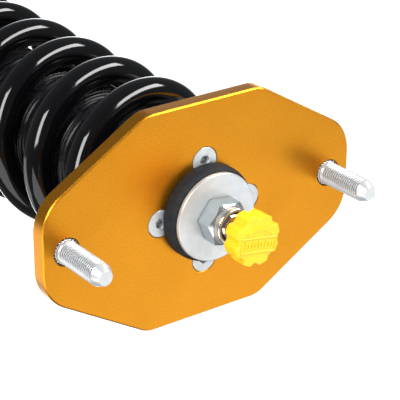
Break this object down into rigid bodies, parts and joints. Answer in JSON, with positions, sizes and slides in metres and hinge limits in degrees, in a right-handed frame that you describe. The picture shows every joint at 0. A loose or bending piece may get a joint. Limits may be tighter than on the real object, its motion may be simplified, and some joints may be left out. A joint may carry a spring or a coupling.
{
  "type": "coilover",
  "caption": "Height-adjustable coilover: coil spring round a mono-tube damper, with a two-stud top plate, a damping knob and a lower eye.",
  "frame": {"origin": "centre of the top plate's outer face, midway between the two studs", "axes": "+Z along the damper's axis, out of the top plate as the studs stand; +X through both studs; +Y across the plate"},
  "size_m": [0.158, 0.098, 0.5064],
  "materials": {
    "orange_anodised": "satin bead-blasted, anodised orange-gold",
    "zinc_steel": "bright zinc plate",
    "hard_chrome": "ground and chromed",
    "black_anodised": "satin, anodised black",
    "black_gloss": "gloss black powder coat",
    "bracket_black": "satin black powder coat",
    "black_rubber": "matte",
    "seal_rubber": "smooth",
    "foam": "closed-cell polyurethane foam",
    "nylon_black": "satin",
    "nylon_white": "satin",
    "yellow_plastic": "moulded, satin",
    "bright_steel": "drawn",
    "spring_steel": "blued strip",
    "plain_aluminium": "turned",
    "bronze_ptfe": "bronze-filled bearing strip",
    "brass": "turned"
  },
  "bodies": {
    "top_mount": {"top_plate": "orange_anodised", "mount_studs": "zinc_steel", "seat_screws": "zinc_steel", "upper_spring_seat": "black_anodised", "upper_bush": "black_rubber", "lower_bush": "black_rubber", "bush_sleeve": "zinc_steel", "upper_washer": "zinc_steel", "lower_washer": "zinc_steel", "top_nut": "zinc_steel", "nut_insert": "nylon_black", "piston_rod": "hard_chrome", "bump_stop": "foam", "dust_boot": "black_rubber", "top_out_bumper": "nylon_white", "compression_shims": "spring_steel", "damper_piston": "plain_aluminium", "piston_band": "bronze_ptfe", "rebound_shims": "spring_steel", "piston_nut": "zinc_steel"},
    "knob": {"adjuster_knob": "yellow_plastic", "adjuster_pin": "bright_steel"},
    "needle": {"metering_needle": "brass"},
    "upper_slip": {"upper_slip_ring": "nylon_black"},
    "damper_body": {"body_tube": "black_anodised", "gland_nut": "black_anodised", "rod_wiper": "seal_rubber", "rod_seal": "seal_rubber", "rod_guide": "plain_aluminium", "guide_seal": "seal_rubber", "end_cap": "black_anodised", "gas_valve": "brass"},
    "floater": {"floating_piston": "plain_aluminium", "floating_piston_seal": "seal_rubber"},
    "spring_pack": {"coil_spring": "black_gloss", "lower_slip_ring": "nylon_black"},
    "perch": {"spring_perch": "orange_anodised"},
    "perch_lock": {"perch_lock_ring": "orange_anodised"},
    "lower_mount": {"lower_bracket": "bracket_black", "bracket_eye": "bracket_black", "eye_bush": "black_rubber"},
    "bracket_lock": {"bracket_lock_ring": "orange_anodised"},
    "eye_core": {"eye_sleeve": "zinc_steel"}
  },
  "joints": [
    {"name": "damper_swivel", "type": "hinge", "parent": "top_mount", "child": "upper_slip", "pos_m": [0, 0, 0], "axis": [0, 0, 1], "continuous": true},
    {"name": "damper_stroke", "type": "slide", "parent": "upper_slip", "child": "damper_body", "axis": [0, 0, 1], "range_m": [0, 0.085], "stiffness_N_per_m": 108000, "deforming": ["coil_spring", "dust_boot", "bump_stop"]},
    {"name": "floater_slide", "type": "slide", "parent": "damper_body", "child": "floater", "axis": [0, 0, 1], "range_m": [-0.009, 0]},
    {"name": "perch_travel", "type": "slide", "parent": "damper_body", "child": "spring_pack", "axis": [0, 0, 1], "range_m": [-0.025, 0]},
    {"name": "perch_spin", "type": "hinge", "parent": "spring_pack", "child": "perch", "pos_m": [0, 0, 0], "axis": [0, 0, 1], "range_deg": [-4500, 0]},
    {"name": "perch_lock_turn", "type": "hinge", "parent": "perch", "child": "perch_lock", "pos_m": [0, 0, 0], "axis": [0, 0, 1], "range_deg": [-45, 0]},
    {"name": "height_travel", "type": "slide", "parent": "damper_body", "child": "lower_mount", "axis": [0, 0, 1], "range_m": [-0.03, 0.015]},
    {"name": "bracket_lock_turn", "type": "hinge", "parent": "lower_mount", "child": "bracket_lock", "pos_m": [0, 0, 0], "axis": [0, 0, 1], "range_deg": [0, 45]},
    {"name": "eye_twist", "type": "hinge", "parent": "lower_mount", "child": "eye_core", "pos_m": [0, 0, -0.4466], "axis": [1, 0, 0], "range_deg": [-20, 20], "stiffness_Nm_per_rad": 80},
    {"name": "knob_turn", "type": "hinge", "parent": "top_mount", "child": "knob", "pos_m": [0, 0, 0], "axis": [0, 0, 1], "range_deg": [-540, 540]},
    {"name": "needle_lift", "type": "slide", "parent": "knob", "child": "needle", "axis": [0, 0, 1], "range_m": [-0.0015, 0.0015]}
  ],
  "couplings": [
    {"joint": "floater_slide", "follows": "damper_stroke", "ratio": -0.10124},
    {"joint": "perch_spin", "follows": "perch_travel", "rad_per_m": 3141.6},
    {"joint": "knob_turn", "follows": "needle_lift", "rad_per_m": 6283.2}
  ]
}
